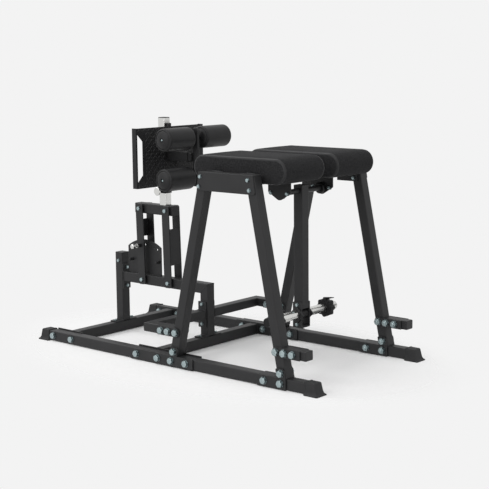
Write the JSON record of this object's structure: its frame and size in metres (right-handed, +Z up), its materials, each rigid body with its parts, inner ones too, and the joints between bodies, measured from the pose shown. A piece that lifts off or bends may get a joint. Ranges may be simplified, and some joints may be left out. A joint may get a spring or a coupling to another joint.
{
  "type": "reverse hyperextension machine",
  "caption": "Back extension and reverse hyperextension machine with A-frames, split pads, a swinging pendulum and a foot plate with rollers on a parallel linkage.",
  "frame": {"origin": "on the floor, under the middle of the machine's outline", "axes": "+X along the machine from the foot plate towards the step stubs, +Y across it, +Z up"},
  "size_m": [2.102, 1.0116, 1.321],
  "materials": {
    "frame_paint": "matte black powder coat on steel tube and plate",
    "tread_plate": "black powder coat on diamond tread plate",
    "zinc_plate": "bright zinc plated steel",
    "chrome_plate": "chrome plated steel",
    "boot_rubber": "matte moulded rubber",
    "black_plastic": "moulded nylon, fine texture",
    "pad_vinyl": "fine grained black vinyl over foam",
    "roller_foam": "closed cell foam with a smooth black skin"
  },
  "bodies": {
    "root": {"near_side_rail": "frame_paint", "far_side_rail": "frame_paint", "rear_cross_tube": "frame_paint", "middle_cross_tube": "frame_paint", "near_front_boot": "boot_rubber", "near_rear_boot": "boot_rubber", "far_front_boot": "boot_rubber", "far_rear_boot": "boot_rubber", "near_middle_joint_plate": "frame_paint", "near_front_joint_plate": "frame_paint", "near_front_inner_plate": "frame_paint", "near_rear_leg": "frame_paint", "near_front_leg": "frame_paint", "near_top_tube": "frame_paint", "near_cover_plate": "frame_paint", "near_step_stub": "frame_paint", "near_brace": "frame_paint", "far_middle_joint_plate": "frame_paint", "far_front_joint_plate": "frame_paint", "far_front_inner_plate": "frame_paint", "far_rear_leg": "frame_paint", "far_front_leg": "frame_paint", "far_top_tube": "frame_paint", "far_cover_plate": "frame_paint", "far_step_stub": "frame_paint", "far_brace": "frame_paint", "rear_post": "frame_paint", "front_post": "frame_paint", "bridge_beam": "frame_paint", "index_plate": "frame_paint", "rear_link_lower_bolt": "zinc_plate", "front_link_lower_bolt": "zinc_plate", "rear_pad_crossbar": "frame_paint", "front_pad_crossbar": "frame_paint", "near_pad": "pad_vinyl", "far_pad": "pad_vinyl", "near_bearing_plate": "frame_paint", "far_bearing_plate": "frame_paint"},
    "rear_link": {"rear_link": "frame_paint"},
    "front_link": {"front_link": "frame_paint"},
    "link_pin": {"link_pin": "chrome_plate"},
    "carrier": {"carrier_tube": "frame_paint", "height_post": "chrome_plate", "rear_link_upper_bolt": "zinc_plate", "front_link_upper_bolt": "zinc_plate"},
    "carriage": {"height_sleeve": "frame_paint", "sleeve_bush": "black_plastic", "foot_plate": "tread_plate"},
    "height_pin": {"height_pin": "chrome_plate"},
    "arm_pin": {"arm_pin": "chrome_plate"},
    "arm": {"roller_arm": "frame_paint"},
    "pendulum": {"pendulum_arm": "frame_paint", "pendulum_fork": "frame_paint", "weight_sleeve": "chrome_plate"},
    "near_collar": {"near_lock_collar": "black_plastic"},
    "far_collar": {"far_lock_collar": "black_plastic"},
    "near_upper_roller": {"near_upper_roller": "roller_foam"},
    "near_lower_roller": {"near_lower_roller": "roller_foam"},
    "far_upper_roller": {"far_upper_roller": "roller_foam"},
    "far_lower_roller": {"far_lower_roller": "roller_foam"}
  },
  "joints": [
    {"name": "rear_link_swing", "type": "hinge", "parent": "root", "child": "rear_link", "pos_m": [-0.612, 0, 0.345], "axis": [0, 1, 0], "range_deg": [-21, 28]},
    {"name": "front_link_swing", "type": "hinge", "parent": "root", "child": "front_link", "pos_m": [-0.396, 0, 0.345], "axis": [0, 1, 0], "range_deg": [-21, 28]},
    {"name": "carrier_level", "type": "hinge", "parent": "rear_link", "child": "carrier", "pos_m": [-0.62476, 0, 0.77481], "axis": [0, 1, 0], "range_deg": [-28, 21]},
    {"name": "link_pin_pull", "type": "slide", "parent": "rear_link", "child": "link_pin", "axis": [0, -1, 0], "range_m": [0, 0.012], "stiffness_N_per_m": 600, "springref_m": -0.01},
    {"name": "height_slide", "type": "slide", "parent": "carrier", "child": "carriage", "axis": [0, 0, 1], "range_m": [0, 0.15]},
    {"name": "height_pin_pull", "type": "slide", "parent": "carriage", "child": "height_pin", "axis": [0, -1, 0], "range_m": [0, 0.01], "stiffness_N_per_m": 600, "springref_m": -0.01},
    {"name": "arm_pin_pull", "type": "slide", "parent": "carriage", "child": "arm_pin", "axis": [0, 0, -1], "range_m": [0, 0.01], "stiffness_N_per_m": 600, "springref_m": -0.01},
    {"name": "arm_slide", "type": "slide", "parent": "carriage", "child": "arm", "axis": [1, 0, 0], "range_m": [0, 0.03]},
    {"name": "pendulum_swing", "type": "hinge", "parent": "root", "child": "pendulum", "pos_m": [0.568, 0, 0.956], "axis": [0, -1, 0], "range_deg": [-50, 90]},
    {"name": "near_collar_slide", "type": "slide", "parent": "pendulum", "child": "near_collar", "axis": [0, -1, 0], "range_m": [-0.15, 0.08]},
    {"name": "far_collar_slide", "type": "slide", "parent": "pendulum", "child": "far_collar", "axis": [0, 1, 0], "range_m": [-0.15, 0.08]},
    {"name": "near_upper_roller_spin", "type": "hinge", "parent": "arm", "child": "near_upper_roller", "pos_m": [-0.21, -0.1505, 1.21], "axis": [0, 1, 0], "continuous": true},
    {"name": "near_lower_roller_spin", "type": "hinge", "parent": "arm", "child": "near_lower_roller", "pos_m": [-0.21, -0.1505, 0.9835], "axis": [0, 1, 0], "continuous": true},
    {"name": "far_upper_roller_spin", "type": "hinge", "parent": "arm", "child": "far_upper_roller", "pos_m": [-0.21, 0.1505, 1.21], "axis": [0, 1, 0], "continuous": true},
    {"name": "far_lower_roller_spin", "type": "hinge", "parent": "arm", "child": "far_lower_roller", "pos_m": [-0.21, 0.1505, 0.9835], "axis": [0, 1, 0], "continuous": true}
  ],
  "couplings": [
    {"joint": "front_link_swing", "follows": "rear_link_swing", "ratio": 1},
    {"joint": "carrier_level", "follows": "rear_link_swing", "ratio": -1}
  ]
}
